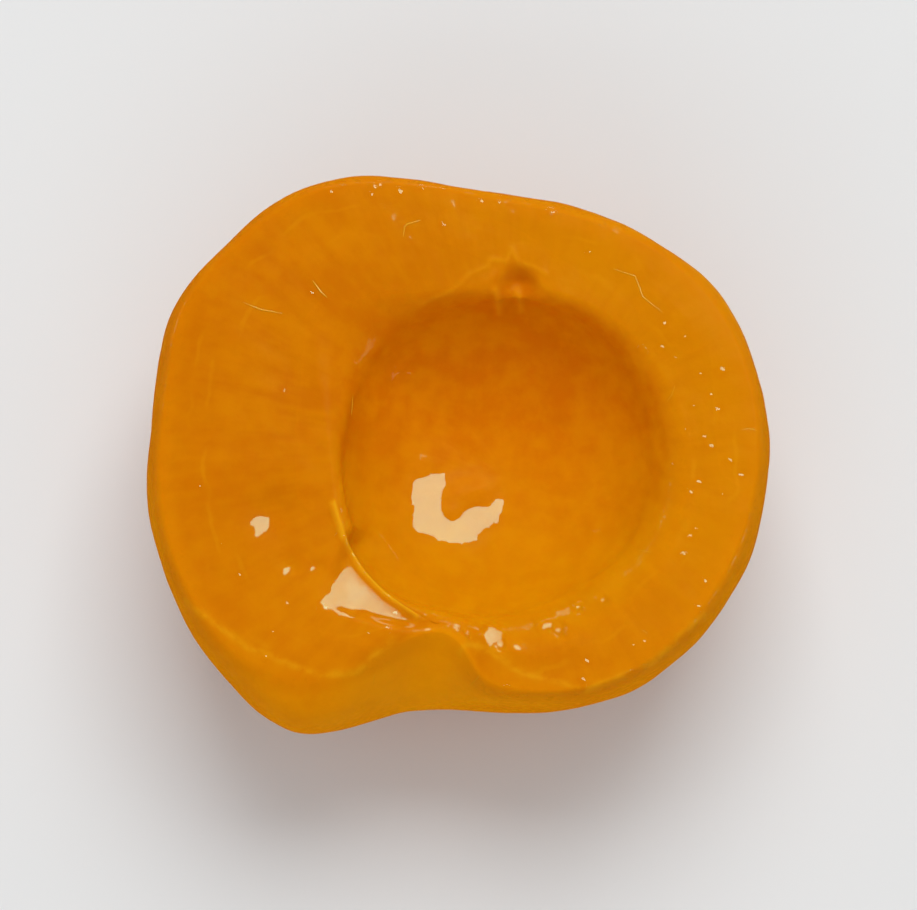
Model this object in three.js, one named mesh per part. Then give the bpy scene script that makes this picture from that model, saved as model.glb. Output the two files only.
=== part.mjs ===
// One half of a peeled peach in syrup, stone taken out, lying cut side up on its round back.
//
// Frame: millimetres, +Z up out of the cut face. +X runs across the two cheeks, +Y towards the
// blossom end, and the notch left by the stem opens towards -Y. The origin is the middle of the
// half's footprint box, at the level it rests on.
//
// The half is one closed skin of meridians. Each meridian starts at the floor of the stone's
// hollow, climbs its wall, rounds the lip, crosses the cut face to the peeled edge, rolls over
// the rim to the girth and follows the back down to the small flat that the half rests on.
// All bearings are degrees about the middle of the hollow: 0 is +X, 90 is +Y.

import * as THREE from "three";

// ---- Overall sizes, mm ----
const WIDTH = 64; // across the cheeks, X
const LENGTH = 57.3; // stem lobes to blossom end, Y
const THICKNESS = 27; // resting flat to cut face, Z

// ---- Plan outline: an ellipse with swells where the fruit stands out of it ----
const OVAL_HALF_WIDTH = WIDTH / 2 - 0.5;
const OVAL_HALF_LENGTH = LENGTH / 2 - 1.25;
const SWELLS = [
  { at: 127.5, out: 4.2, spread: 22.5 }, // shoulder beside the blossom end
  { at: 154, out: 1.9, spread: 12 }, // corner of the left cheek
  { at: -124, out: 4.6, spread: 38 }, // left stem lobe
  { at: -60, out: 1.2, spread: 34 }, // right stem lobe
  { at: 44.5, out: 1.5, spread: 33 }, // right cheek towards the blossom end
];

// ---- Stem notch: half of the funnel that the stem stood in ----
// Each side of it falls off on its own: steeply into the left lobe, gently into the right one.
const GIRTH_NOTCH = { at: -108, deep: 6.2, left: [15, 3.4], right: [31, 1.8] }; // below the funnel
const FACE_NOTCH = { at: -104.5, deep: 8.5, left: [18.5, 3.6], right: [11, 1.3] }; // in the cut edge
const LOBE_ROLL = { at: -121.5, wide: 4.9, spread: 18.5 }; // extra rim width on the left lobe
const FUNNEL_SLOPE = 48; // degrees, fall of the funnel's floor where it leaves the cut face
const FUNNEL_BROW = 0.6; // share of that slope which the cut face takes up before its edge
const FUNNEL_DROP = 1.3; // how far the crest between hollow and funnel lies below the face

// ---- Rim and girth ----
const RIM_WIDTH = 1.6; // plan width of the peeled edge round the cut face
const LEAST_RIM = 0.9; // what is left of it where the stem notch takes the girth in
const RIM_BLEND = 0.6; // how softly the one passes into the other
const RIM_SLOPE = 3; // degrees, fall of the cut face where it meets the rim
const RIM_DROP = 0.35; // how far the cut edge lies below the highest flesh
const GIRTH_DEPTH = 6.5; // widest level of the cheeks, below the cut face
const FUNNEL_GIRTH_DEPTH = 11; // the same at the foot of the funnel
const BACK_FULLNESS = 0.6; // 0.55 is a true quarter ellipse, more is a fuller back
const BELLY_FILL = 0.9; // share of the notch that the back below it makes up again

// ---- Hollow left by the stone ----
const HOLLOW_X = 4.8; // middle of the hollow, off the middle of the half
const HOLLOW_Y = -0.65;
const HOLLOW_RADIUS = 16.7; // foot of the lip
const HOLLOW_DEPTH = 12; // below the cut face
const HOLLOW_SWELLS = [
  { at: 138, out: 1.5, spread: 22 }, // worn shoulder
  { at: 5, out: -1.2, spread: 40 }, // right side, drawn in
  { at: -142, out: 0.6, spread: 30 }, // behind the left stem lobe
  { at: -62, out: -1.2, spread: 32 }, // behind the right stem lobe, drawn in
];
const LIP_SHARP = { round: 1.0, lean: 0.1 }; // left side, where the stone came away clean
const LIP_SOFT = { round: 3.2, lean: 0.5 }; // where the lip is worn down
const SOFT_LIPS = [
  { at: -8, out: 1, spread: 62 }, // right side
  { at: 140, out: 1, spread: 28 }, // worn shoulder
  { at: -78, out: 0.75, spread: 26 }, // stem side
];
const WIDE_LIPS = [
  { at: 142, out: 1.8, spread: 17 }, // worn shoulder
  { at: 87, out: 2.4, spread: 7 }, // pocket torn back where the stone's tip sat
  { at: -62, out: 1.8, spread: 28 }, // behind the right stem lobe
];
const LIP_HEIGHT = 1.2; // height of the lip's rounding over its radius
const LEAST_FACE = 1; // least width of cut face beside the lip

// ---- Resting flat and unevenness ----
const FOOT_RADIUS = 7;
const FOOT_X = -1.7; // middle of the flat, under the centre of mass
const FOOT_Y = 0.5;
const WAVE_HEIGHT = 0.12; // gentle unevenness of the cut face, for each wave
const WAVES = [
  { length: 23, heading: 30 },
  { length: 17, heading: 110 },
];

// ---- Fineness ----
const MERIDIANS = 108;
const STEPS = { wall: 11, lip: 3, face: 5, rim: 6, back: 12 };

const QUARTER_ARC = 0.5523; // handle length of a cubic that follows a quarter circle
const WAVE_FADE = 3; // mm over which the unevenness dies out at the cut edge
const UP = new THREE.Vector3(0, 0, 1);

/** Degrees from one bearing to another, -180 to 180. */
function turn(from, to) {
  return THREE.MathUtils.euclideanModulo(to - from + 180, 360) - 180;
}

/** Bell of height 1 at one bearing, falling off with its spread in degrees. */
function bell(bearing, at, spread, power = 2) {
  return Math.exp(-((Math.abs(turn(at, bearing)) / spread) ** power));
}

/** Sum of the swells at a bearing, in the unit of their `out`. */
function swell(list, bearing) {
  return list.reduce((sum, s) => sum + s.out * bell(bearing, s.at, s.spread), 0);
}

/** Smaller of two lengths, with the corner between them rounded over a length. */
function softMin(a, b, over) {
  return -over * Math.log(Math.exp(-a / over) + Math.exp(-b / over));
}

/** Plan direction of a bearing. */
function outward(bearing) {
  const angle = THREE.MathUtils.degToRad(bearing);
  return new THREE.Vector3(Math.cos(angle), Math.sin(angle), 0);
}

/** Distance from the middle of the hollow to the oval outline. */
function ovalReach(direction) {
  const along = (p, q) => (p.x * q.x) / OVAL_HALF_WIDTH ** 2 + (p.y * q.y) / OVAL_HALF_LENGTH ** 2;
  const middle = new THREE.Vector3(HOLLOW_X, HOLLOW_Y, 0);
  const a = along(direction, direction);
  const b = along(middle, direction);
  const c = along(middle, middle) - 1;
  return (Math.sqrt(b * b - a * c) - b) / a;
}

/** Share of a notch that is taken at a bearing, 0 to 1. */
function notchShare({ at, left, right }, bearing) {
  return bell(bearing, at, ...(turn(at, bearing) < 0 ? left : right));
}

/** Height of the cut face's unevenness at a place. */
function wave(place) {
  const phase = ({ length, heading }) => (2 * Math.PI * place.dot(outward(heading))) / length;
  return WAVES.reduce((sum, w) => sum + WAVE_HEIGHT * Math.sin(phase(w)), 0);
}

/** Turns a fall in degrees into a unit vector that heads outward and down. */
function falling(direction, degrees) {
  const fall = THREE.MathUtils.degToRad(degrees);
  return direction.clone().multiplyScalar(Math.cos(fall)).addScaledVector(UP, -Math.sin(fall));
}

/** Points of one cubic after its first one, which the piece before it has already given. */
function cubic(start, startHandle, endHandle, end, steps) {
  return new THREE.CubicBezierCurve3(start, startHandle, endHandle, end).getPoints(steps).slice(1);
}

/** Points of one meridian, from the floor of the hollow to the edge of the resting flat. */
function meridian(bearing) {
  const out = outward(bearing);
  const middle = new THREE.Vector3(HOLLOW_X, HOLLOW_Y, 0);
  const at = (reach, z) => middle.clone().addScaledVector(out, reach).setZ(z);
  const { lerp } = THREE.MathUtils;

  // How soft the lip is here, and how much the stem notch takes.
  const soft = Math.min(1, swell(SOFT_LIPS, bearing));
  const round = lerp(LIP_SHARP.round, LIP_SOFT.round, soft);
  const width = round + swell(WIDE_LIPS, bearing);
  const lean = lerp(LIP_SHARP.lean, LIP_SOFT.lean, soft);
  const notch = notchShare(FACE_NOTCH, bearing);
  const below = notchShare(GIRTH_NOTCH, bearing);

  // Reaches and heights of the places that the meridian passes.
  const cheek = ovalReach(out) + swell(SWELLS, bearing);
  const girth = cheek - GIRTH_NOTCH.deep * below;
  const roll = LOBE_ROLL.wide * bell(bearing, LOBE_ROLL.at, LOBE_ROLL.spread);
  const cut = cheek - RIM_WIDTH - roll - FACE_NOTCH.deep * notch;
  const edge = softMin(cut, girth - LEAST_RIM, RIM_BLEND);
  const edgeZ = THICKNESS - lerp(RIM_DROP, FUNNEL_DROP, notch);
  const girthZ = THICKNESS - lerp(GIRTH_DEPTH, FUNNEL_GIRTH_DEPTH, below);
  const lipReach = HOLLOW_RADIUS + swell(HOLLOW_SWELLS, bearing) - (lean * round) / 2;
  const topReach = Math.min(lipReach + width * (1 + lean / 2), edge - LEAST_FACE);
  const topZ = lerp(THICKNESS - RIM_DROP, edgeZ, notch);
  const lipZ = topZ - round * LIP_HEIGHT;

  const floor = at(0, THICKNESS - HOLLOW_DEPTH);
  const lip = at(lipReach, lipZ);
  const top = at(topReach, topZ);
  const brow = at(edge, edgeZ);
  const side = at(girth, girthZ);
  const foot = new THREE.Vector3(FOOT_X, FOOT_Y, 0).addScaledVector(out, FOOT_RADIUS);

  // Wall of the hollow, a quarter ellipse that leans back where the lip is soft.
  const rise = new THREE.Vector3(0, 0, 1).addScaledVector(out, lean).normalize();
  const wallTop = lip.clone().addScaledVector(rise, -(lipZ - floor.z) * QUARTER_ARC);
  const wall = cubic(floor, at(lipReach * QUARTER_ARC, floor.z), wallTop, lip, STEPS.wall);
  // Lip, from the wall over on to the cut face.
  const lipStart = lip.clone().addScaledVector(rise, round * QUARTER_ARC);
  const lipEnd = top.clone().addScaledVector(out, -width * QUARTER_ARC);
  const lipArc = cubic(lip, lipStart, lipEnd, top, STEPS.lip);
  // Cut face, leaving the lip level and falling a little to the rim.
  const third = (edge - topReach) / 3;
  const browFall = falling(out, lerp(RIM_SLOPE, FUNNEL_SLOPE * FUNNEL_BROW, notch));
  const faceEnd = brow.clone().addScaledVector(browFall, -third);
  const face = cubic(top, top.clone().addScaledVector(out, third), faceEnd, brow, STEPS.face);
  face.forEach((p) => {
    const inside = Math.min(1, Math.min(p.distanceTo(brow), p.distanceTo(top)) / WAVE_FADE);
    p.z += wave(p) * inside;
  });
  // Rim, rolling down from the cut edge to the girth; in the notch it is the funnel's floor.
  const rimFall = falling(out, lerp(RIM_SLOPE, FUNNEL_SLOPE, notch));
  const rimStart = brow.clone().addScaledVector(rimFall, (girth - edge) * QUARTER_ARC);
  const rimEnd = side.clone().addScaledVector(UP, (edgeZ - girthZ) * QUARTER_ARC);
  const rim = cubic(brow, rimStart, rimEnd, side, STEPS.rim);
  // Back, from the girth round to the flat it rests on. It fills out again below the notch.
  const belly = at(lerp(girth, cheek, BELLY_FILL), 0);
  const backStart = side.clone().addScaledVector(UP, -girthZ * BACK_FULLNESS);
  const backEnd = foot.clone().lerp(belly, BACK_FULLNESS);
  const back = cubic(side, backStart, backEnd, foot, STEPS.back);
  return [...wall, ...lipArc, ...face, ...rim, ...back];
}

/** Closes the meridians into one skin, with a fan at the hollow's floor and one at the flat. */
function skin() {
  const lines = Array.from({ length: MERIDIANS }, (_, i) => meridian((360 * i) / MERIDIANS));
  const rings = lines[0].length;
  const floor = new THREE.Vector3(HOLLOW_X, HOLLOW_Y, THICKNESS - HOLLOW_DEPTH);
  const flat = new THREE.Vector3(FOOT_X, FOOT_Y, 0);
  const points = [floor, ...lines.flat(), flat];
  const at = (line, ring) => 1 + (line % MERIDIANS) * rings + ring;

  const faces = [];
  for (let line = 0; line < MERIDIANS; line += 1) {
    faces.push(0, at(line, 0), at(line + 1, 0));
    for (let ring = 0; ring < rings - 1; ring += 1) {
      const [a, b] = [at(line, ring), at(line, ring + 1)];
      const [c, d] = [at(line + 1, ring + 1), at(line + 1, ring)];
      faces.push(a, b, c, a, c, d);
    }
    faces.push(points.length - 1, at(line + 1, rings - 1), at(line, rings - 1));
  }

  const geometry = new THREE.BufferGeometry().setFromPoints(points);
  geometry.setIndex(faces);
  geometry.computeBoundingBox();
  const middle = geometry.boundingBox.getCenter(new THREE.Vector3());
  geometry.translate(-middle.x, -middle.y, 0);
  geometry.computeVertexNormals();
  return geometry;
}

const flesh = new THREE.MeshStandardMaterial({ color: 0xd47d05, roughness: 0.28, metalness: 0 });
const peachHalf = new THREE.Mesh(skin(), flesh);
peachHalf.name = "peach_half";

const part = new THREE.Group();
part.add(peachHalf);

export default part;
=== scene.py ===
"""A peeled peach half in syrup, its stone taken out, lying cut side up on its round back.

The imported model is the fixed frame. Its node peach_half is replaced by a finer skin of the same form,
which adds the relief of wet cut flesh, the torn lip of the hollow and the pebbled back. Syrup and loose
fibres lie on that skin. Sizes of the half are in millimetres and bearings in degrees about the middle of
the hollow, 0 along +X and 90 along +Y, as the part's own sizes are. Every mesh is in metres.
"""

import sys
import logging
import math
from dataclasses import dataclass, field, replace
from enum import Enum
from typing import Any, Iterable, Union

import bpy
import numpy as np
from mathutils import Matrix, Vector, noise
from mathutils.bvhtree import BVHTree


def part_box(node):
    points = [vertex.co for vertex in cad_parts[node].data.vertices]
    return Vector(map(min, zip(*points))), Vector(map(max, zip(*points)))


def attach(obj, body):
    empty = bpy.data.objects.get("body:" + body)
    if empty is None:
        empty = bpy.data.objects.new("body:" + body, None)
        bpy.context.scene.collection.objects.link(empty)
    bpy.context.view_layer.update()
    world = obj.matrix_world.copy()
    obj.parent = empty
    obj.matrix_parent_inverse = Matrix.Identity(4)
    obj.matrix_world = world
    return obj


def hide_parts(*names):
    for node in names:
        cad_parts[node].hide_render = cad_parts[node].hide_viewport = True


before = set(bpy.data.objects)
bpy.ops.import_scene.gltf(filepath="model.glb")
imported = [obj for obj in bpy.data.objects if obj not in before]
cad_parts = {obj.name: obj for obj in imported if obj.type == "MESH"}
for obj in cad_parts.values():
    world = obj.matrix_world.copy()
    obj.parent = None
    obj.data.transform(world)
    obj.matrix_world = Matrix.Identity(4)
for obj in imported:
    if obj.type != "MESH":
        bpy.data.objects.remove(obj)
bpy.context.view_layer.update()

log = logging.getLogger("peach_half")

MM = 0.001
BODY = "root"
NODE = "peach_half"
GLINT = (0.44, 1.0, 0.70)  # colour of the lights that wet surfaces mirror
QUARTER_ARC = 0.5523  # handle length of a cubic that follows a quarter circle
KEY = (0.08, 0.57, 0.82)  # towards the main light
SHEEN = (0.385, 0.432, 0.817)  # towards the part of it that wet surfaces mirror

Span = tuple[float, float]  # the two ends of a range, or the sizes along X and Y
Plan = tuple[float, float]  # a plan place about the middle of the hollow, in millimetres
Triple = tuple[float, float, float]
Colour = Triple


# ------------------------------------------------------------------------------------------------
# Form of the half, in millimetres
# ------------------------------------------------------------------------------------------------


class Stretch(Enum):
    """The stretches of a meridian, from the floor of the hollow to the flat that the half rests on."""

    WALL = "wall"
    LIP = "lip"
    FACE = "face"
    RIM = "rim"
    BACK = "back"
    FOOT = "foot"


Lines = dict[Stretch, np.ndarray]


def turn(start: float, bearings: np.ndarray) -> np.ndarray:
    """Degrees from one bearing to others, -180 to 180."""
    return (bearings - start + 180) % 360 - 180


def bell(bearings: np.ndarray, at: float, spread: float, power: float = 2.0) -> np.ndarray:
    """Bells of height 1 at one bearing.

    Args:
        bearings: Where the bell is read, degrees.
        at: Bearing of its top.
        spread: Degrees over which it falls to 1/e.
        power: Flatness of its top, 2 for a plain bell.

    Returns:
        The bell's height at each bearing.
    """
    return np.exp(-((np.abs(turn(at, bearings)) / spread) ** power))


def ease(values: np.ndarray, low: float, high: float) -> np.ndarray:
    """Smooth step from 0 at low to 1 at high."""
    t = np.clip((values - low) / (high - low), 0, 1)
    return t * t * (3 - 2 * t)


def soft_min(a: np.ndarray, b: np.ndarray, over: float) -> np.ndarray:
    """Smaller of two lengths, with the corner between them rounded over a length."""
    return -over * np.logaddexp(-a / over, -b / over)


def cubic(points: Iterable[np.ndarray], t: np.ndarray) -> np.ndarray:
    """Points of one cubic on every meridian.

    Args:
        points: Start, first handle, second handle and end, each of shape (meridians, 3).
        t: Where the cubics are read, 0 to 1.

    Returns:
        An array of shape (meridians, len(t), 3).
    """
    start, first, second, end = (p[:, None, :] for p in points)
    t = t[None, :, None]
    s = 1 - t
    return s**3 * start + 3 * s * s * t * first + 3 * s * t * t * second + t**3 * end


@dataclass(frozen=True)
class Swell:
    """A bulge of the outline or lip at one bearing."""

    at: float
    out: float
    spread: float

    def __call__(self, bearings: np.ndarray) -> np.ndarray:
        """Size of the bulge at each bearing."""
        return self.out * bell(bearings, self.at, self.spread)


@dataclass(frozen=True)
class Notch:
    """A notch whose two sides fall off on their own, each as (spread, power)."""

    at: float
    deep: float
    left: Span
    right: Span

    def share(self, bearings: np.ndarray) -> np.ndarray:
        """Share of the notch that is taken at each bearing, 0 to 1."""
        left, right = (bell(bearings, self.at, *side) for side in (self.left, self.right))
        return np.where(turn(self.at, bearings) < 0, left, right)


@dataclass(frozen=True)
class Lip:
    """Rounding of the hollow's lip, and how far its wall leans back."""

    round: float
    lean: float


def total(swells: Iterable[Swell], bearings: np.ndarray) -> np.ndarray:
    """Sum of several swells at each bearing."""
    return sum(s(bearings) for s in swells)


@dataclass(frozen=True)
class HalfForm:
    """The half's driving sizes, and the meridians that follow from them."""

    width: float = 64.0
    length: float = 57.3
    thickness: float = 27.0
    oval_inset: Span = (0.5, 1.25)  # what the plain oval leaves to the swells at each side
    swells: tuple[Swell, ...] = (
        Swell(127.5, 4.2, 22.5),
        Swell(154, 1.9, 12),
        Swell(-124, 4.6, 38),
        Swell(-60, 1.2, 34),
        Swell(44.5, 1.5, 33),
    )
    girth_notch: Notch = Notch(-108, 6.2, (15, 3.4), (31, 1.8))  # the stem notch at the girth
    face_notch: Notch = Notch(-104.5, 8.5, (18.5, 3.6), (11, 1.3))  # the same in the cut edge
    lobe_roll: Swell = Swell(-121.5, 4.9, 18.5)  # how far the cut edge draws back from the left lobe
    funnel_slope: float = 48.0  # fall of the flesh into the stem notch, degrees
    funnel_brow: float = 0.6  # share of that fall which the face has at its edge
    funnel_drop: float = 1.3
    rim_width: float = 1.6
    least_rim: float = 0.9
    rim_blend: float = 0.6  # rounds the corner where the rim becomes as narrow as it may be
    rim_slope: float = 3.0
    rim_drop: float = 0.35
    girth_depth: float = 6.5
    funnel_girth_depth: float = 11.0
    back_fullness: float = 0.6  # length of the handles that round the back
    belly_fill: float = 0.9  # share of the girth's notch that the belly fills
    hollow_middle: Span = (4.8, -0.65)
    hollow_radius: float = 16.7
    hollow_depth: float = 12.0
    hollow_swells: tuple[Swell, ...] = (
        Swell(138, 1.5, 22),
        Swell(5, -1.2, 40),
        Swell(-142, 0.6, 30),
        Swell(-62, -1.2, 32),
    )
    lip_sharp: Lip = Lip(1.0, 0.1)
    lip_soft: Lip = Lip(3.2, 0.5)
    # Where the lip is soft, from 0 to 1, and where it is wider than its rounding.
    soft_lips: tuple[Swell, ...] = (Swell(-8, 1, 62), Swell(140, 1, 28), Swell(-78, 0.75, 26))
    wide_lips: tuple[Swell, ...] = (Swell(142, 1.8, 17), Swell(87, 2.4, 7), Swell(-62, 1.8, 28))
    lip_height: float = 1.2
    least_face: float = 1.0
    foot_radius: float = 7.0
    foot_middle: Span = (-1.7, 0.5)
    wave_height: float = 0.12
    waves: tuple[Span, ...] = ((23, 30), (17, 110))
    wave_fade: float = 3.0

    def oval_reach(self, out: np.ndarray) -> np.ndarray:
        """Distance from the middle of the hollow to the oval outline, along each plan direction.

        Args:
            out: Unit vectors of shape (n, 2 or 3).

        Returns:
            Distances of shape (n,).
        """
        half = np.array([self.width / 2 - self.oval_inset[0], self.length / 2 - self.oval_inset[1]])
        ray = out[:, :2] / half
        middle = np.array(self.hollow_middle) / half
        a = (ray**2).sum(1)
        b = ray @ middle
        c = middle @ middle - 1
        return (np.sqrt(b * b - a * c) - b) / a

    def wave(self, place: np.ndarray) -> np.ndarray:
        """Height of the cut face's gentle unevenness.

        Args:
            place: Places of shape (..., 3).

        Returns:
            Heights of shape (...).
        """
        height = np.zeros(place.shape[:-1])
        for length, heading in self.waves:
            turned = math.radians(heading)
            along = place[..., 0] * math.cos(turned) + place[..., 1] * math.sin(turned)
            height += self.wave_height * np.sin(math.tau * along / length)
        return height

    def middle(self) -> np.ndarray:
        """Middle of the hollow, at floor height."""
        return np.array([*self.hollow_middle, 0.0])

    def stretches(self, bearings: np.ndarray, steps: Lines) -> Lines:
        """The meridians at some bearings.

        Args:
            bearings: Degrees about the middle of the hollow.
            steps: Where each stretch is read, 0 to 1 along it.

        Returns:
            For each stretch an array of shape (meridians, steps, 3).
        """
        angle = np.radians(bearings)
        out = np.stack([np.cos(angle), np.sin(angle), 0 * angle], -1)
        up = np.array([0.0, 0.0, 1.0])

        def at(reach: np.ndarray, z: np.ndarray) -> np.ndarray:
            """Places at some reach and height on every meridian."""
            reach, z = (np.broadcast_to(size, angle.shape)[:, None] for size in (reach, z))
            return self.middle() + out * reach + up * z

        def mix(a: float, b: float, share: np.ndarray) -> np.ndarray:
            """Share of the way from one size to another."""
            return a + (b - a) * share

        def falling(degrees: np.ndarray) -> np.ndarray:
            """Unit vectors that head outward and down."""
            fall = np.radians(degrees)[:, None]
            return out * np.cos(fall) - up * np.sin(fall)

        soft = np.minimum(1, total(self.soft_lips, bearings))
        round_ = mix(self.lip_sharp.round, self.lip_soft.round, soft)
        width = round_ + total(self.wide_lips, bearings)
        lean = mix(self.lip_sharp.lean, self.lip_soft.lean, soft)
        notch = self.face_notch.share(bearings)
        below = self.girth_notch.share(bearings)

        cheek = self.oval_reach(out) + total(self.swells, bearings)
        girth = cheek - self.girth_notch.deep * below
        cut = cheek - self.rim_width - self.lobe_roll(bearings) - self.face_notch.deep * notch
        edge = soft_min(cut, girth - self.least_rim, self.rim_blend)
        edge_z = self.thickness - mix(self.rim_drop, self.funnel_drop, notch)
        girth_z = self.thickness - mix(self.girth_depth, self.funnel_girth_depth, below)
        lip_reach = self.hollow_radius + total(self.hollow_swells, bearings) - lean * round_ / 2
        top_reach = np.minimum(lip_reach + width * (1 + lean / 2), edge - self.least_face)
        top_z = self.thickness - self.rim_drop + (edge_z - self.thickness + self.rim_drop) * notch
        lip_z = top_z - round_ * self.lip_height
        floor_z = self.thickness - self.hollow_depth

        floor, lip, top = at(0, floor_z), at(lip_reach, lip_z), at(top_reach, top_z)
        brow, side = at(edge, edge_z), at(girth, girth_z)
        foot_middle = np.array([*self.foot_middle, 0.0])
        foot = foot_middle + out * self.foot_radius

        rise = up + out * lean[:, None]
        rise /= np.linalg.norm(rise, axis=1, keepdims=True)
        wall_top = lip - rise * ((lip_z - floor_z) * QUARTER_ARC)[:, None]
        wall = cubic((floor, at(lip_reach * QUARTER_ARC, floor_z), wall_top, lip), steps[Stretch.WALL])

        climb = (round_ * QUARTER_ARC)[:, None]
        reach = (width * QUARTER_ARC)[:, None]
        lips = cubic((lip, lip + rise * climb, top - out * reach, top), steps[Stretch.LIP])

        third = ((edge - top_reach) / 3)[:, None]
        brow_fall = falling(mix(self.rim_slope, self.funnel_slope * self.funnel_brow, notch))
        face = cubic((top, top + out * third, brow - brow_fall * third, brow), steps[Stretch.FACE])
        from_edge, from_lip = (np.linalg.norm(face - end[:, None], axis=2) for end in (brow, top))
        face[..., 2] += self.wave(face) * np.minimum(1, np.minimum(from_edge, from_lip) / self.wave_fade)

        rim_fall = falling(mix(self.rim_slope, self.funnel_slope, notch))
        rim_start = brow + rim_fall * ((girth - edge) * QUARTER_ARC)[:, None]
        rim_end = side + up * ((edge_z - girth_z) * QUARTER_ARC)[:, None]
        rim = cubic((brow, rim_start, rim_end, side), steps[Stretch.RIM])

        belly = at(mix(girth, cheek, self.belly_fill), 0)
        back_start = side - up * (girth_z * self.back_fullness)[:, None]
        back_end = foot + (belly - foot) * self.back_fullness
        back = cubic((side, back_start, back_end, foot), steps[Stretch.BACK])

        inward = steps[Stretch.FOOT][None, :, None]
        flat = foot[:, None] + (foot_middle - foot[:, None]) * inward
        return dict(zip(Stretch, (wall, lips, face, rim, back, flat)))


# ------------------------------------------------------------------------------------------------
# Relief of the flesh, in millimetres
# ------------------------------------------------------------------------------------------------


@dataclass(frozen=True)
class Grain:
    """A fractal unevenness of one size."""

    height: float
    size: float
    octaves: int
    offset: Triple
    gain: float = 0.9
    step: float = 2.1

    def heights(self, places: np.ndarray) -> np.ndarray:
        """Height of the grain.

        Args:
            places: Places of shape (n, 3).

        Returns:
            Heights of shape (n,).
        """
        shifted = places / self.size + np.array(self.offset)
        grains = [noise.fractal(p, self.gain, self.step, self.octaves) for p in shifted.tolist()]
        return self.height * np.array(grains)


@dataclass(frozen=True)
class Strand:
    """A raised or sunk line over the flesh, through plan points."""

    points: tuple[Plan, ...]
    height: float
    width: float
    paint: float = 1.0

    def heights(self, plan: np.ndarray) -> np.ndarray:
        """Height of the line.

        Args:
            plan: Places of shape (n, 2).

        Returns:
            Heights of shape (n,).
        """
        nearest = np.full(len(plan), np.inf)
        for a, b in zip(self.points, self.points[1:]):
            start, way = np.array(a), np.array(b) - np.array(a)
            t = np.clip(((plan - start) @ way) / (way @ way), 0, 1)
            nearest = np.minimum(nearest, np.linalg.norm(plan - start - t[:, None] * way, axis=1))
        return self.height * np.exp(-((nearest / self.width) ** 2))


@dataclass(frozen=True)
class Dent:
    """A round dip, or a nub where its depth is negative."""

    at: Plan
    depth: float
    radius: float

    def heights(self, plan: np.ndarray) -> np.ndarray:
        """Height of the dent at plan places of shape (n, 2)."""
        far = np.linalg.norm(plan - np.array(self.at), axis=1)
        return -self.depth * np.exp(-((far / self.radius) ** 2))


@dataclass(frozen=True)
class Facet:
    """A worn flat that falls from one corner to the line between two others, and fades out past it."""

    corner: Plan
    line: tuple[Plan, Plan]
    slope: float
    blur: float
    fade: float

    def heights(self, plan: np.ndarray) -> np.ndarray:
        """Height of the flat.

        Args:
            plan: Places of shape (n, 2).

        Returns:
            Heights of shape (n,), 0 or less.
        """
        corner, start, end = (np.array(p) for p in (self.corner, *self.line))
        along = (end - start) / np.linalg.norm(end - start)
        across = np.array([-along[1], along[0]])
        reach = (start - corner) @ across
        fallen = (plan - corner) @ across
        held = plan - np.maximum(fallen - reach, 0)[:, None] * across
        window = 1 - ease(fallen - reach, 0.0, self.fade)
        for side, turned in ((start, 1), (end, -1)):
            edge = (side - corner) / np.linalg.norm(side - corner)
            inside = (held - corner) @ (turned * np.array([edge[1], -edge[0]]))
            window *= ease(inside, -self.blur, self.blur)
        return -self.slope * np.clip(fallen, 0, reach) * window


@dataclass(frozen=True)
class Ledge:
    """A small ragged flat of one slope, whole to the first share of its radii and gone at the second."""

    at: Plan
    radii: Span
    fall: Span = (0.213, 0.157)
    fade: Span = (0.7, 1.39)
    ragged: float = 0.35
    grain: float = 0.8

    def rises(self, about: np.ndarray) -> np.ndarray:
        """How far the flat lifts the skin to its own level.

        Args:
            about: Places of the upper side, of shape (n, 3) about the middle of the hollow.

        Returns:
            The lift of each place, negative where the skin stands over the flat and 0 beside it.
        """
        away = about[:, :2] - np.array(self.at)
        near = np.linalg.norm(away / np.array(self.radii), axis=1)
        level = about[np.argmin(near), 2] - away @ np.array(self.fall)
        edge = self.ragged * np.array([noise.noise(p) for p in (about / self.grain).tolist()])
        return (level - about[:, 2]) * (1 - ease(near + edge, *self.fade))


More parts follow.
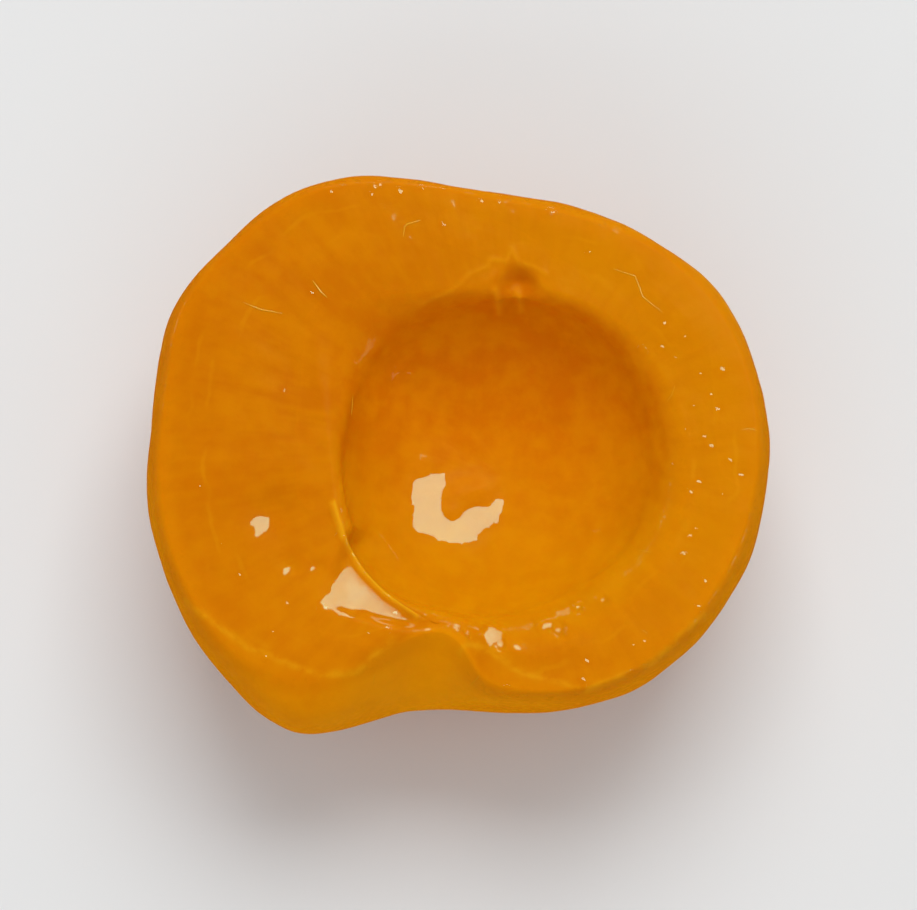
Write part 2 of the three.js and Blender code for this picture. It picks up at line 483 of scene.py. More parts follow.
@dataclass(frozen=True)
class FleshRelief:
    """Everything that stands out of the plain form or sinks into it."""

    face_swell: Grain = Grain(0.10, 6.5, 2, (3.1, 8.4, 1.7))
    face_grain: Grain = Grain(0.035, 1.5, 2, (11.3, 2.9, 5.2))
    hollow_swell: Grain = Grain(0.12, 4.2, 2, (7.7, 0.6, 9.1))
    hollow_grain: Grain = Grain(0.045, 1.3, 3, (1.9, 14.2, 3.3))
    back_swell: Grain = Grain(0.25, 9.0, 2, (5.5, 6.6, 12.4))
    back_pebble: Grain = Grain(0.035, 2.2, 2, (0.4, 3.8, 15.0))
    ray_height: float = 0.02
    ray_width: float = 1.4
    ray_width_at: float = 22.0  # distance from the middle where a furrow has that width
    ray_length: float = 6.0
    least_reach: float = 0.01
    torn: tuple[Strand, ...] = (
        Strand(((-17.6, -4.6), (-16.6, -7.9), (-14.8, -11.1), (-12.4, -13.6), (-9.0, -16.0)), 0.32, 0.30),
        Strand(
            ((-8.8, 16.0), (-5.6, 17.3), (-3.7, 19.1), (-1.9, 19.9), (-1.6, 20.7), (0.0, 20.4)),
            0.07,
            0.26,
            0.22,
        ),
        Strand(((0.0, 20.4), (0.5, 21.7), (1.2, 20.3), (2.6, 19.9), (4.0, 19.2)), 0.07, 0.26, 0.3),
        Strand(((-1.1, 17.4), (-0.7, 15.9)), 0.22, 0.40, 0.35),
        Strand(((1.0, 17.3), (1.5, 16.0)), 0.20, 0.35, 0.35),
    )
    veins: tuple[Strand, ...] = (
        Strand(((-32.6, -14.6), (-26.4, -19.3), (-19.1, -22.2), (-15.1, -21.8), (-11.5, -18.5)), 0.03, 0.35),
        Strand(((-3.0, -19.0), (1.5, -22.0), (8.0, -23.6), (14.5, -21.0), (20.0, -15.9)), 0.02, 0.32),
        Strand(((-4.5, -18.9), (-1.0, -19.6), (0.6, -21.5)), 0.02, 0.32),
    )
    folds: tuple[Strand, ...] = (
        Strand(((-10.8, -19.2), (-13.0, -21.6), (-15.0, -24.3)), -0.20, 1.0),
        Strand(((-6.6, -19.4), (-9.6, -22.8), (-12.9, -26.4)), -0.15, 0.9),
    )
    facets: tuple[Facet, ...] = (Facet((-19.0, -15.2), ((-15.9, -7.9), (-9.2, -17.4)), 0.17, 0.8, 3.5),)
    # Marks that keep the syrup's gloss or take it away. Their depth is the share of it.
    glossy: tuple[Dent, ...] = (
        Dent((-5.9, -17.9), 0.4, 1.6),
        Dent((-1.9, -18.2), 1, 1.8),
        Dent((4.4, -16.6), 1, 2.0),
        Dent((8.2, -14.0), 1, 2.2),
    )
    dull: tuple[Dent | Strand, ...] = (
        Dent((1.3, 18.6), 2, 2.6),
        Dent((18.5, 16.5), 2, 4.5),
        Strand(((-5.0, 24.0), (1.0, 21.5), (7.0, 17.0)), -2, 1.8),
        Strand(((-18.0, 14.0), (-18.9, 5.0), (-18.8, -3.0)), -2, 2.2),
        Strand(((23.4, 13.0), (24.2, 6.0), (24.4, 0.0)), -2, 2.6),
        Dent((14.5, 21.5), 2, 2.5),
        Strand(((-14.2, -7.5), (-11.5, -11.5), (-8.0, -14.0), (-3.0, -14.6)), -2, 1.2),
        Strand(((-17.8, -17.3), (-13.5, -18.1), (-8.8, -18.9)), -2, 1.1),
    )
    # Where shade is painted into the small pocket at the top of the hollow. It only paints; it doesn't sink
    # the flesh.
    pocket: Dent = Dent((1.3, 18.4), 1, 2.0)
    dents: tuple[Dent, ...] = (
        Dent((1.3, 18.2), 1.2, 1.5),
        Dent((-23.8, -5.3), 0.75, 2.5),
        Dent((-21.8, -11.0), 0.22, 0.8),
        Dent((-19.3, -10.8), 0.18, 0.7),
        Dent((-4.9, -2.3), -0.50, 1.7),
        Dent((-2.6, -1.5), -0.45, 1.5),
        Dent((-5.7, -4.1), -0.25, 0.8),
    )
    ledges: tuple[Ledge, ...] = (
        Ledge((-1.5, -18.0), (1.1, 1.2)),
        Ledge((-0.6, -19.0), (0.45, 0.7)),
        Ledge((4.4, -16.9), (1.3, 0.8)),
        Ledge((5.3, -17.5), (0.6, 0.7)),
        Ledge((7.2, -14.9), (0.45, 0.6)),
        Ledge((9.7, -14.4), (0.5, 0.6)),
        Ledge((-5.9, -18.1), (0.45, 0.35)),
        Ledge((-4.8, -18.3), (0.4, 0.35)),
        Ledge((-4.0, -17.8), (0.35, 0.4)),
    )

    def rays(self, about: np.ndarray) -> np.ndarray:
        """Faint radial furrows of the cut flesh.

        Args:
            about: Places of shape (n, 3), counted from the middle of the hollow.

        Returns:
            Heights of shape (n,).
        """
        reach = np.linalg.norm(about[:, :2], axis=1, keepdims=True)
        direction = about[:, :2] / np.maximum(reach, self.least_reach)
        around = self.ray_width_at / self.ray_width
        coordinates = np.hstack([direction * around, reach / self.ray_length])
        return self.ray_height * np.array([noise.noise(p) for p in coordinates.tolist()])


@dataclass(frozen=True)
class Pool:
    """The syrup left on the hollow's floor: a shallow dome whose edge dips into the flesh."""

    middle: Plan = (-5.5, -3.3)
    radii: Span = (4.8, 3.6)
    depth: float = 0.22
    sink: float = 0.5

    def rise(self, plan: np.ndarray) -> np.ndarray:
        """Height of the syrup over the plain form at places about the middle of the hollow."""
        far = np.linalg.norm((plan - np.array(self.middle)) / np.array(self.radii), axis=-1)
        return np.maximum(self.depth * (1 - far**2), -self.sink)


# ------------------------------------------------------------------------------------------------
# Node trees
# ------------------------------------------------------------------------------------------------

Input = Union[float, int, bool, str, tuple, "Wire", bpy.types.ID]


@dataclass(frozen=True)
class Wire:
    """An output socket of a node tree. Arithmetic on wires and numbers adds Math nodes."""

    bench: "Bench"
    socket: bpy.types.NodeSocket

    def _math(self, operation: str, *values: Input) -> "Wire":
        """One Math node on two or three values."""
        return self.bench.node("ShaderNodeMath", {"operation": operation}, dict(enumerate(values)))

    def __add__(self, other: Input) -> "Wire":
        """Sum."""
        return self._math("ADD", self, other)

    def __radd__(self, other: Input) -> "Wire":
        """Sum, number first."""
        return self._math("ADD", other, self)

    def __sub__(self, other: Input) -> "Wire":
        """Difference."""
        return self._math("SUBTRACT", self, other)

    def __rsub__(self, other: Input) -> "Wire":
        """Difference, number first."""
        return self._math("SUBTRACT", other, self)

    def __mul__(self, other: Input) -> "Wire":
        """Product."""
        return self._math("MULTIPLY", self, other)

    def __rmul__(self, other: Input) -> "Wire":
        """Product, number first."""
        return self._math("MULTIPLY", other, self)

    def __abs__(self) -> "Wire":
        """Absolute value."""
        return self._math("ABSOLUTE", self)

    def step(self, low: float, high: float) -> "Wire":
        """Smooth step from 0 at low to 1 at high; high may be below low."""
        ends = {"Value": self, "From Min": low, "From Max": high}
        return self.bench.node("ShaderNodeMapRange", {"interpolation_type": "SMOOTHSTEP"}, ends)

    def beside(self, output: str) -> "Wire":
        """Another output of the node that this one leaves."""
        return Wire(self.bench, self.socket.node.outputs[output])


@dataclass(frozen=True)
class Bench:
    """A node tree under construction."""

    tree: bpy.types.NodeTree

    def node(
        self,
        kind: str,
        settings: dict[str, Any] | None = None,
        sockets: dict[str | int, Input] | None = None,
        output: str | int = 0,
    ) -> Wire:
        """Adds one node.

        Args:
            kind: The node's type name.
            settings: Its properties, set before its sockets.
            sockets: Values or wires of its input sockets, by name or number.
            output: The output socket that is wanted.

        Returns:
            That output as a wire.
        """
        node = self.tree.nodes.new(kind)
        for name, value in (settings or {}).items():
            setattr(node, name, value)
        for name, value in (sockets or {}).items():
            socket = self._pick(node.inputs, name)
            if isinstance(value, Wire):
                self.tree.links.new(value.socket, socket)
            else:
                socket.default_value = value
        return Wire(self, self._pick(node.outputs, output) if node.outputs else None)

    @staticmethod
    def _pick(sockets: Iterable[bpy.types.NodeSocket], name: str | int) -> bpy.types.NodeSocket:
        """Finds a socket.

        Args:
            sockets: A node's inputs or outputs.
            name: Name or number of the one that is wanted.

        Returns:
            The enabled socket of that name, or the socket of that number.
        """
        if isinstance(name, int):
            return sockets[name]
        return next(s for s in sockets if s.name == name and s.enabled)

    def vector(self, operation: str, *values: Input, output: str | int = 0) -> Wire:
        """One Vector Math node."""
        return self.node("ShaderNodeVectorMath", {"operation": operation}, dict(enumerate(values)), output)

    def blend(self, share: Input, first: Input, second: Input) -> Wire:
        """Colour between two colours."""
        sockets = {"Factor": share, "A": first, "B": second}
        return self.node("ShaderNodeMix", {"data_type": "RGBA"}, sockets, "Result")

    def attribute(self, name: str) -> Wire:
        """In a material, a number kept on the piece's own mesh."""
        return self.node("ShaderNodeAttribute", {"attribute_name": name}, None, "Fac")

    def kept_number(self, name: str) -> Wire:
        """In a Geometry Nodes tree, a number kept on the mesh that it reads."""
        kind = "GeometryNodeInputNamedAttribute"
        return self.node(kind, {"data_type": "FLOAT"}, {"Name": name}, "Attribute")

    def surface(self, sockets: dict[str | int, Input]) -> None:
        """Ends a material in a Principled shader with these sockets."""
        shader = self.node("ShaderNodeBsdfPrincipled", None, sockets)
        self.node("ShaderNodeOutputMaterial", None, {"Surface": shader})


@dataclass(frozen=True)
class Dial:
    """A named input of a Geometry Nodes tree."""

    name: str
    value: float | int
    socket: str = "NodeSocketFloat"


class Grower:
    """A Geometry Nodes tree that grows small pieces on a mesh, and its use."""

    def __init__(self, name: str, dials: Iterable[Dial]) -> None:
        """Starts a tree with a Geometry input and output and the dials as inputs.

        Args:
            name: The tree's name.
            dials: Its other inputs.
        """
        self.dials = list(dials)
        self.tree = bpy.data.node_groups.new(name, "GeometryNodeTree")
        face = self.tree.interface
        face.new_socket(name="Geometry", in_out="INPUT", socket_type="NodeSocketGeometry")
        for dial in self.dials:
            face.new_socket(name=dial.name, in_out="INPUT", socket_type=dial.socket)
        face.new_socket(name="Geometry", in_out="OUTPUT", socket_type="NodeSocketGeometry")
        self.bench = Bench(self.tree)
        self._inputs = self.tree.nodes.new("NodeGroupInput")

    def __getitem__(self, name: str) -> Wire:
        """One of the tree's inputs as a wire."""
        return Wire(self.bench, self._inputs.outputs[name])

    def close(self, geometry: Wire, material: bpy.types.Material) -> None:
        """Ends the tree in Realize Instances, smooth shading and Set Material.

        Args:
            geometry: What the tree has made.
            material: The material that it wears.
        """
        node = self.bench.node
        made = node("GeometryNodeRealizeInstances", None, {"Geometry": geometry})
        smooth = node("GeometryNodeSetShadeSmooth", None, {"Geometry": made, "Shade Smooth": True})
        dressed = node("GeometryNodeSetMaterial", None, {"Geometry": smooth, "Material": material})
        output = self.tree.nodes.new("NodeGroupOutput")
        self.tree.links.new(dressed.socket, output.inputs["Geometry"])

    def grow(self, name: str, seedbed: bpy.types.Mesh) -> bpy.types.Object:
        """Runs the tree on a mesh and keeps the result as a plain piece.

        Args:
            name: Name of the new piece.
            seedbed: The mesh that the tree reads.

        Returns:
            The piece, a plain mesh with no modifier.
        """
        piece = new_piece(name, seedbed)
        modifier = piece.modifiers.new(self.tree.name, "NODES")
        modifier.node_group = self.tree
        identifiers = {
            item.name: item.identifier
            for item in self.tree.interface.items_tree
            if item.in_out == "INPUT" and item.name != "Geometry"
        }
        for dial in self.dials:
            modifier[identifiers[dial.name]] = dial.value
        evaluated = piece.evaluated_get(bpy.context.evaluated_depsgraph_get())
        mesh = bpy.data.meshes.new_from_object(evaluated)
        piece.modifiers.clear()
        piece.data = mesh
        mesh.name = name
        return piece


def opaque(colour: Colour) -> tuple[float, float, float, float]:
    """A colour with full alpha, as sockets take it."""
    return (*colour, 1.0)


def new_material(name: str) -> tuple[bpy.types.Material, Bench]:
    """Makes an empty node material.

    Args:
        name: The material's name.

    Returns:
        The material and its bench.
    """
    material = bpy.data.materials.new(name)
    material.use_nodes = True
    material.node_tree.nodes.clear()
    return material, Bench(material.node_tree)


# ------------------------------------------------------------------------------------------------
# Finishes
# ------------------------------------------------------------------------------------------------


@dataclass(frozen=True)
class Clouding:
    """A noise over a surface, of one size in millimetres, or the smooth step between two of its values."""

    size: float
    detail: float = 2.0
    roughness: float = 0.5
    ends: Span | None = None

    def over(self, bench: Bench, place: Wire) -> Wire:
        """Lays the noise over a surface.

        Args:
            bench: The material's tree.
            place: Where the noise is read, in metres.

        Returns:
            The noise, about 0 to 1.
        """
        sockets = {"Vector": place, "Scale": 1 / (self.size * MM)}
        sockets |= {"Detail": self.detail, "Roughness": self.roughness}
        clouds = bench.node("ShaderNodeTexNoise", None, sockets, "Fac")
        return clouds.step(*self.ends) if self.ends else clouds


@dataclass(frozen=True)
class Mottle:
    """Two colours that take turns by a mix of noises, each with its share."""

    deep: Colour
    light: Colour
    shares: tuple[float, ...]
    ends: Span

    def over(self, bench: Bench, noises: Iterable[Wire]) -> Wire:
        """Mixes the two colours.

        Args:
            bench: The material's tree.
            noises: As many noises as there are shares, each about 0 to 1.

        Returns:
            The mottled colour.
        """
        parts = [wire * share for wire, share in zip(noises, self.shares)]
        tone = sum(parts[1:], parts[0]).step(*self.ends)
        return bench.blend(tone, opaque(self.deep), opaque(self.light))


@dataclass(frozen=True)
class Tint:
    """A colour laid over the flesh by a share of one of its masks."""

    mask: str
    share: float
    colour: Colour

    def over(self, bench: Bench, under: Wire) -> Wire:
        """The colour under it with this one laid over."""
        return bench.blend(bench.attribute(self.mask) * self.share, under, opaque(self.colour))


@dataclass(frozen=True)
class FleshFinish:
    """Wet flesh: mottled and radially fibred on the cut, deeper in the hollow, pebbled on the back, with
    painted shade and painted light.
    """

    cut: Mottle = Mottle((0.602, 0.159, 0.0003), (0.668, 0.209, 0.0006), (0.45, 0.25, 0.30), (0.36, 0.64))
    hollow: Mottle = Mottle((0.672, 0.174, 0.0005), (0.728, 0.230, 0.0008), (0.5, 0.5), (0.36, 0.64))
    back: Mottle = Mottle((0.690, 0.208, 0.0005), (0.745, 0.250, 0.0008), (0.6, 0.4), (0.38, 0.62))
    cheek: Tint = Tint("cheek", 0.45, (0.690, 0.258, 0.0006))
    # Painted light: the hollow turns lighter and yellower towards its lower side, where its wall faces the
    # light.
    low: Tint = Tint("low", 0.42, (0.670, 0.318, 0.0006))
    # Painted shade: a dark brown laid into the small pocket at the top of the hollow.
    pocket: Tint = Tint("pocket", 1.0, (0.560, 0.120, 0.0003))
    edge: Tint = Tint("edge", 0.4, (0.690, 0.222, 0.0008))
    torn: Tint = Tint("torn", 1.0, (0.800, 0.350, 0.0050))
    # Pale stem end; in the stem valley the same colour is painted fill light over the valley's shade.
    stem_end_and_valley_light: Colour = (0.870, 0.330, 0.0006)
    stem_share: float = 0.12
    # Share of painted light in the shaded stem valley.
    valley_painted_light_share: float = 0.40
    vein: Colour = (0.760, 0.320, 0.0040)
    vein_share: float = 0.7
    vein_breaks: Span = (0.3, 0.6)
    fine_vein_share: float = 0.22
    fine_vein_edge: Span = (0.40, 0.05)
    # Each fine vein: its distance from the cut edge in millimetres, and the step that breaks it up.
    fine_veins: tuple[Triple, ...] = ((2.4, 0.52, 0.70), (4.2, 0.48, 0.30), (6.0, 0.54, 0.70))
    fine_vein_gaps: Clouding = Clouding(5.0, 1.0)
    wander: float = 4.5
    wandering: Clouding = Clouding(7.5, 3.0)
    clouds: Clouding = Clouding(7.5)
    flecks: Clouding = Clouding(1.9, 4.0, 0.6)
    streaks: Clouding = Clouding(1.2)
    streaks_at: float = 22.0  # distance from the middle where a streak has its own width
    streak_run: float = 0.16  # its width over its length
    middle: Triple = (0.0, 0.0, 0.0)
    pebbles: Clouding = Clouding(0.55, 2.0, 0.55)
    fine: Clouding = Clouding(0.9, 3.0, 0.6)
    pebble_height: float = 0.05
    fine_height: float = 0.025
    streak_height: float = 0.030
    wet: Clouding = Clouding(4.0, ends=(0.42, 0.55))
    broken: Clouding = Clouding(1.1, 3.0, 0.6, (0.54, 0.58))
    glitter: Clouding = Clouding(0.8, 2.0, 0.6, (0.35, 0.65))
    dull_ragged: float = 0.8
    dull_edge: Span = (0.46, 0.54)
    matt_loss: float = 0.72
    coat: Span = (0.80, 0.20)  # everywhere, and what wet patches add
    back_coat: Span = (0.35, 0.45)  # the same on the back, where glitter adds the rest
    coat_roughness: float = 0.02
    roughness: float = 0.36
    wet_smoothing: float = 0.06
    base_gloss: float = 0.02
    refraction: float = 1.42
    subsurface: float = 0.35
    subsurface_scale: float = 0.0018
    subsurface_radius: Triple = (1.0, 0.42, 0.06)

    def _streaks(self, bench: Bench, place: Wire) -> Wire:
        """Streaks that run outward from the middle of the hollow.

        Args:
            bench: The material's tree.
            place: Object coordinates.

        Returns:
            Their noise, about 0 to 1.
        """
        about = bench.vector("SUBTRACT", place, self.middle)
        plan = bench.vector("MULTIPLY", about, (1.0, 1.0, 0.0))
        reach = bench.vector("LENGTH", plan, output="Value")
        heading = bench.vector("NORMALIZE", plan)
        around = bench.vector("MULTIPLY", heading, (self.streaks_at * MM, self.streaks_at * MM, 0.0))
        along = bench.node("ShaderNodeCombineXYZ", None, {"Z": reach * self.streak_run})
        return self.streaks.over(bench, bench.vector("ADD", around, along))

    def _fine_veins(self, bench: Bench, place: Wire) -> Wire:
        """Thin broken lines that run along the cut edge.

        Args:
            bench: The material's tree.
            place: Object coordinates.

        Returns:
            How much of each place they cover, on the cut face only.
        """
        across = bench.attribute("across") + self.wander * (self.wandering.over(bench, place) - 0.5)
        gaps = self.fine_vein_gaps.over(bench, place)
        lines = [
            abs(across - depth).step(*self.fine_vein_edge) * gaps.step(*ends)
            for depth, *ends in self.fine_veins
        ]
        return sum(lines[1:], lines[0]) * bench.attribute("face")

    def _colour(self, bench: Bench, place: Wire, noises: tuple[Wire, ...]) -> Wire:
        """Colour of the flesh.

        Args:
            bench: The material's tree.
            place: Object coordinates.
            noises: The clouds, flecks and streaks.

        Returns:
            The colour, with every tint laid over it.
        """
        hollow, back = bench.attribute("hollow"), bench.attribute("back")
        cut, deep, skin = (mottle.over(bench, noises) for mottle in (self.cut, self.hollow, self.back))
        # The hollow's colour, painted lighter and yellower towards its lower side as painted light, and
        # darker in the pocket as painted shade.
        deep = self.pocket.over(bench, self.low.over(bench, deep))
        colour = bench.blend(hollow, self.cheek.over(bench, cut), deep)
        colour = bench.blend(back, self.edge.over(bench, colour), skin)
        # Paler towards the stem end on the cut face and back, and painted lighter in the stem valley as
        # painted fill light for its shade.
        stem = bench.attribute("stem") * ((1 - hollow) * self.stem_share + back * self.stem_share)
        pale = stem + bench.attribute("valley") * self.valley_painted_light_share
        veins = bench.attribute("vein") * noises[1].step(*self.vein_breaks) * self.vein_share
        colour = bench.blend(pale, colour, opaque(self.stem_end_and_valley_light))
        for share in (self._fine_veins(bench, place) * self.fine_vein_share, veins):
            colour = bench.blend(share, colour, opaque(self.vein))
        return self.torn.over(bench, colour)

    def _coat(self, bench: Bench, place: Wire, flecks: Wire, wet: Wire) -> Wire:
        """Weight of the syrup's gloss: broken on brinks, gone from dull places, uneven on the back.

        Args:
            bench: The material's tree.
            place: Object coordinates.
            flecks: Noise that makes the borders of dull places ragged.
            wet: Noise of the wetter patches.

        Returns:
            The coat's weight.
        """
        back = bench.attribute("back")
        broken, glitter = (clouding.over(bench, place) for clouding in (self.broken, self.glitter))
        moist = (1 - bench.attribute("dull") + (flecks - 0.5) * self.dull_ragged).step(*self.dull_edge)
        kept = (1 - bench.attribute("brink") * (1 - broken)) * moist
        gloss = (1 - back) * (self.coat[0] + wet * self.coat[1])
        gloss = gloss * (1 - bench.attribute("matt") * self.matt_loss) * kept
        return gloss + back * (self.back_coat[0] + glitter * self.back_coat[1])

    def dress(self, name: str) -> bpy.types.Material:
        """Builds the material.

        Args:
            name: The material's name.

        Returns:
            The material, which reads Object coordinates and the masks on the flesh.
        """
        material, bench = new_material(name)
        place = bench.node("ShaderNodeTexCoord", None, None, "Object")
        cloudings = (self.clouds, self.flecks, self.wet, self.pebbles, self.fine)
        clouds, flecks, wet, pebbles, fine = (clouding.over(bench, place) for clouding in cloudings)
        streaks = self._streaks(bench, place)
        back = bench.attribute("back")
        relief = back * pebbles * self.pebble_height + (1 - back) * fine * self.fine_height
        relief = relief + bench.attribute("face") * streaks * self.streak_height
        bump = {"Strength": 1.0, "Distance": MM, "Height": relief}
        bench.surface(
            {
                "Base Color": self._colour(bench, place, (clouds, flecks, streaks)),
                "Roughness": self.roughness - wet * self.wet_smoothing,
                "IOR": self.refraction,
                "Specular IOR Level": self.base_gloss,
                "Normal": bench.node("ShaderNodeBump", None, bump, "Normal"),
                "Subsurface Weight": self.subsurface,
                "Subsurface Radius": self.subsurface_radius,
                "Subsurface Scale": self.subsurface_scale,
                "Coat Weight": self._coat(bench, place, flecks, wet),
                "Coat Roughness": self.coat_roughness,
                "Coat IOR": self.refraction,
            }
        )
        return material


@dataclass(frozen=True)
class SyrupFinish:
    """Thin clear syrup: what lies below shows through, and Fresnel gives the gloss."""

    tint: Colour = (1.0, 0.985, 0.93)
    gloss: Colour = (1.0, 1.0, 1.0)
    roughness: float = 0.03
    refraction: float = 1.42

    def dress(self, name: str) -> bpy.types.Material:
        """Builds the material.

        Args:
            name: The material's name.

        Returns:
            The material.
        """
        material, bench = new_material(name)
        clear = bench.node("ShaderNodeBsdfTransparent", None, {"Color": opaque(self.tint)})
        mirror = {"Color": opaque(self.gloss), "Roughness": self.roughness}
        gloss = bench.node("ShaderNodeBsdfAnisotropic", None, mirror)
        outside = 1 - bench.node("ShaderNodeNewGeometry", None, None, "Backfacing")
        fresnel = outside * bench.node("ShaderNodeFresnel", None, {"IOR": self.refraction})
        shader = bench.node("ShaderNodeMixShader", None, {0: fresnel, 1: clear, 2: gloss})
        bench.node("ShaderNodeOutputMaterial", None, {"Surface": shader})
        return material


@dataclass(frozen=True)
class FibreFinish:
    """Pale wet strands of torn flesh."""

    pale: Colour = (0.82, 0.36, 0.008)
    deep: Colour = (0.74, 0.28, 0.004)
    mottle: Clouding = Clouding(1.2)
    roughness: float = 0.25
    subsurface: float = 0.3
    subsurface_radius: Triple = (1.0, 0.5, 0.1)
    subsurface_scale: float = 0.0005
    coat: float = 0.15
    coat_roughness: float = 0.08

    def dress(self, name: str) -> bpy.types.Material:
        """Builds the material.

        Args:
            name: The material's name.

        Returns:
            The material.
        """
        material, bench = new_material(name)
        place = bench.node("ShaderNodeTexCoord", None, None, "Object")
        tone = self.mottle.over(bench, place)
        bench.surface(
            {
                "Base Color": bench.blend(tone, opaque(self.deep), opaque(self.pale)),
                "Roughness": self.roughness,
                "Subsurface Weight": self.subsurface,
                "Subsurface Radius": self.subsurface_radius,
                "Subsurface Scale": self.subsurface_scale,
                "Coat Weight": self.coat,
                "Coat Roughness": self.coat_roughness,
            }
        )
        return material


@dataclass(frozen=True)
class FloorFinish:
    """Plain pale board."""

    colour: Colour = (0.775, 0.785, 0.79)
    roughness: float = 0.7
    gloss: float = 0.1

    def dress(self, name: str) -> bpy.types.Material:
        """Builds the material.

        Args:
            name: The material's name.

        Returns:
            The material.
        """
        material, bench = new_material(name)
        colour = opaque(self.colour)
        bench.surface({"Base Color": colour, "Roughness": self.roughness, "Specular IOR Level": self.gloss})
        return material


# ------------------------------------------------------------------------------------------------
# Pieces
# ------------------------------------------------------------------------------------------------


def new_piece(name: str, mesh: bpy.types.Mesh) -> bpy.types.Object:
    """Links a mesh as an object that sits at the origin.

    Args:
        name: Name of the new object.
        mesh: The mesh that it shows.

    Returns:
        The object.
    """
    piece = bpy.data.objects.new(name, mesh)
    bpy.context.scene.collection.objects.link(piece)
    return piece


def ring_faces(meridians: int, rings: int) -> list[tuple[int, ...]]:
    """Faces of a closed skin of meridians.

    Args:
        meridians: How many there are.
        rings: Points on each. Point 0 is the first pole, then come the meridians, then the last pole.

    Returns:
        Quads between neighbouring meridians, with a fan at each pole.
    """
    last = 1 + meridians * rings
    faces: list[tuple[int, ...]] = []
    for line in range(meridians):
        here = 1 + line * rings
        after = 1 + (line + 1) % meridians * rings
        faces.append((0, here, after))
        faces += [(here + r, here + r + 1, after + r + 1, after + r) for r in range(rings - 1)]
        faces.append((last, after + rings - 1, here + rings - 1))
    return faces


def skin_mesh(
    name: str, first: np.ndarray, grid: np.ndarray, last: np.ndarray, material: bpy.types.Material
) -> bpy.types.Mesh:
    """A closed skin of meridians, from places in millimetres.

    Args:
        name: The mesh's name.
        first: The pole that every meridian starts at.
        grid: The places between the poles, of shape (meridians, rings, 3).
        last: The pole that every meridian ends at.
        material: The skin's material.

    Returns:
        The mesh, smooth and in metres.
    """
    points = np.vstack([first, grid.reshape(-1, 3), last]) * MM
    mesh = bpy.data.meshes.new(name)
    mesh.from_pydata(points.tolist(), [], ring_faces(*grid.shape[:2]))
    mesh.shade_smooth()
    mesh.materials.append(material)
    return mesh


def surface_tree(mesh: bpy.types.Mesh) -> BVHTree:
    """A mesh's surface, ready to be asked for its nearest points."""
    return BVHTree.FromPolygons([v.co for v in mesh.vertices], [p.vertices[:] for p in mesh.polygons])


def hand_over(piece: bpy.types.Object, *replaced: str) -> bpy.types.Object:
    """Tells the frame what a finished piece rides on and the nodes it stands for.

    Args:
        piece: The finished piece.
        replaced: Names of the nodes that it stands for, if any.

    Returns:
        The piece.
    """
    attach(piece, BODY)
    if replaced:
        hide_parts(*replaced)
    log.info("%s: %d faces", piece.name, len(piece.data.polygons))
    return piece


@dataclass(frozen=True)
class Fades:
    """Where each mask of the flesh starts and ends.

    On the face and rim these are distances from the cut edge in millimetres, apart from brink_inner, which
    is one from the lip. On the lip and back they are shares of the stretch. The last five are heights and
    plan places in millimetres.
    """

    hollow_lip: Span = (0.3, 1.0)
    back_rim: Span = (0.8, 3.2)
    edge_face: Span = (0.2, 1.8)
    edge_rim: Span = (0.6, 2.4)
    face_lip: Span = (0.2, 1.0)
    face_edge: Span = (0.1, 1.4)
    brink_lip: Span = (0.2, 0.6)
    brink_inner: Span = (0.0, 1.5)
    brink_outer: Span = (0.3, 2.0)
    worn_face: Span = (1.5, 5.0)
    worn_rim: Span = (3.0, 6.0)
    # Where the stem valley is painted lighter.
    valley_face: Span = (0.0, 1.4)
    valley_back: Span = (0.0, 0.4)
    rest: Span = (0.0, 2.5)
    pool: Span = (-0.45, -0.1)
    # Plan Y over which the hollow is painted lighter towards its lower side.
    low: Span = (-11.0, 13.0)
    cheek: Span = (-14.0, 22.0)
    stem: Span = (-9.0, 16.0)


